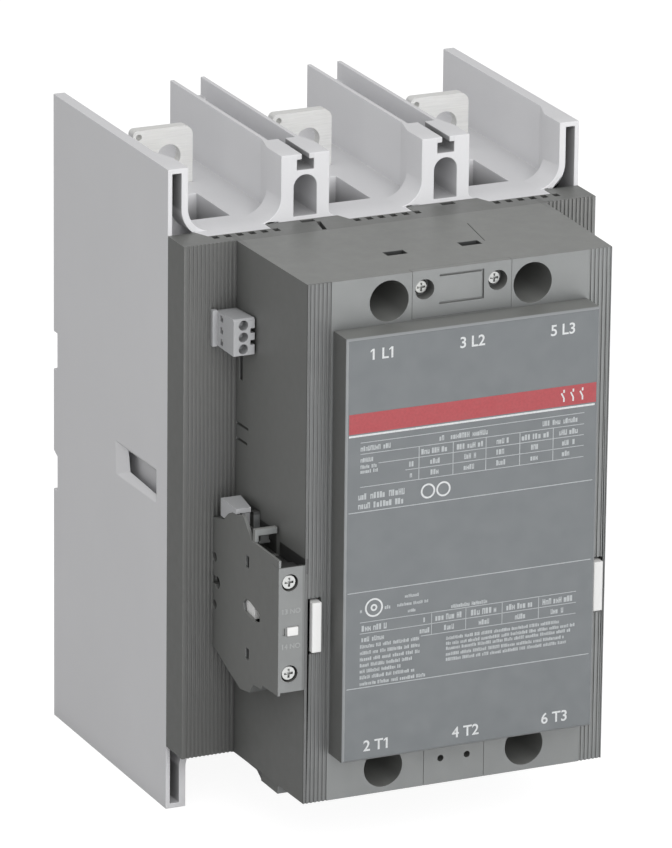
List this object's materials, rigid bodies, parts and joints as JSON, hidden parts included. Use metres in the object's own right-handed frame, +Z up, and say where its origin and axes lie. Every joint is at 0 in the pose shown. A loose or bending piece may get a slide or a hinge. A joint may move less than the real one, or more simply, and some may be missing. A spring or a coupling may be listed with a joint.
{
  "type": "contactor",
  "caption": "Three-pole power contactor with light grey open terminal channels, a dark ribbed arc housing, a raised front cover and a side auxiliary contact block.",
  "frame": {"origin": "centre of the flat mounting plane at the back of the rear base", "axes": "+X to the right seen from the front, +Y into the panel (the front face looks along -Y), +Z up with the line terminals at the top"},
  "size_m": [0.186, 0.2166, 0.278],
  "materials": {
    "light_grey_moulding": "satin moulded thermoset, light grey",
    "dark_grey_moulding": "fine-grained moulded thermoset, dark grey",
    "mid_grey_moulding": "smooth moulded plastic, mid grey",
    "white_moulding": "smooth white moulded plastic",
    "pale_terminal_plastic": "pale grey moulded plastic",
    "tinned_copper": "tin-plated copper, satin",
    "copper": "bare drawn copper",
    "winding_wire": "enamelled copper wire under tape",
    "silver_contact": "silver alloy contact pad",
    "carrier_moulding": "black glass-filled thermoset",
    "laminated_steel": "stack of oiled electrical steel sheets",
    "bright_steel": "zinc-plated sheet steel",
    "zinc_screw": "bright zinc-plated screw",
    "spring_steel": "drawn spring wire",
    "damper_rubber": "soft black rubber",
    "bobbin_plastic": "natural glass-filled nylon",
    "board_laminate": "green solder-masked laminate",
    "board_component": "moulded electronic components",
    "chute_fibre": "vulcanised fibre sheet"
  },
  "bodies": {
    "housing": {"aux_body": "dark_grey_moulding", "aux_clamps": "bright_steel", "aux_fixed_contacts": "tinned_copper", "aux_front": "dark_grey_moulding", "aux_screws": "zinc_screw", "aux_spring": "spring_steel", "board_parts": "board_component", "bobbin_left": "bobbin_plastic", "bobbin_right": "bobbin_plastic", "bottom_cover": "dark_grey_moulding", "bracket_screws": "zinc_screw", "chute_frames_lower": "chute_fibre", "chute_frames_upper": "chute_fibre", "chute_plates_lower": "bright_steel", "chute_plates_upper": "bright_steel", "coil_clamps": "bright_steel", "coil_leads": "copper", "coil_pins": "tinned_copper", "coil_terminal": "pale_terminal_plastic", "control_board": "board_laminate", "core_brackets": "bright_steel", "core_pads": "damper_rubber", "core_rivets": "bright_steel", "cover_screws": "zinc_screw", "fixed_tips": "silver_contact", "front_housing": "dark_grey_moulding", "housing_screws": "zinc_screw", "label_cover": "mid_grey_moulding", "line_bar_1": "tinned_copper", "line_bar_2": "tinned_copper", "line_bar_3": "tinned_copper", "load_bar_1": "tinned_copper", "load_bar_2": "tinned_copper", "load_bar_3": "tinned_copper", "magnet_core": "laminated_steel", "mid_housing": "dark_grey_moulding", "rear_base": "light_grey_moulding", "return_springs": "spring_steel", "top_cover": "dark_grey_moulding", "winding_left": "winding_wire", "winding_right": "winding_wire"},
    "carrier": {"contact_carrier": "carrier_moulding", "armature": "laminated_steel", "armature_pin": "bright_steel", "bridge_1": "copper", "bridge_2": "copper", "bridge_3": "copper", "moving_tips": "silver_contact", "contact_springs": "spring_steel", "coupler_left": "white_moulding", "coupler_right": "white_moulding"},
    "aux_switch": {"aux_driver": "white_moulding", "aux_bridge": "tinned_copper"},
    "aux_release": {"aux_hook": "pale_terminal_plastic", "aux_catch": "dark_grey_moulding"}
  },
  "joints": [
    {"name": "contact_slide", "type": "slide", "parent": "housing", "child": "carrier", "axis": [0, 1, 0], "range_m": [0, 0.008], "stiffness_N_per_m": 1500, "springref_m": -0.01, "deforming": ["return_springs"]},
    {"name": "aux_slide", "type": "slide", "parent": "housing", "child": "aux_switch", "axis": [0, 1, 0], "range_m": [0, 0.008], "deforming": ["aux_spring"]},
    {"name": "aux_release_lift", "type": "slide", "parent": "housing", "child": "aux_release", "axis": [0, 0, 1], "range_m": [0, 0.002]}
  ],
  "couplings": [
    {"joint": "aux_slide", "follows": "contact_slide", "ratio": 1}
  ]
}
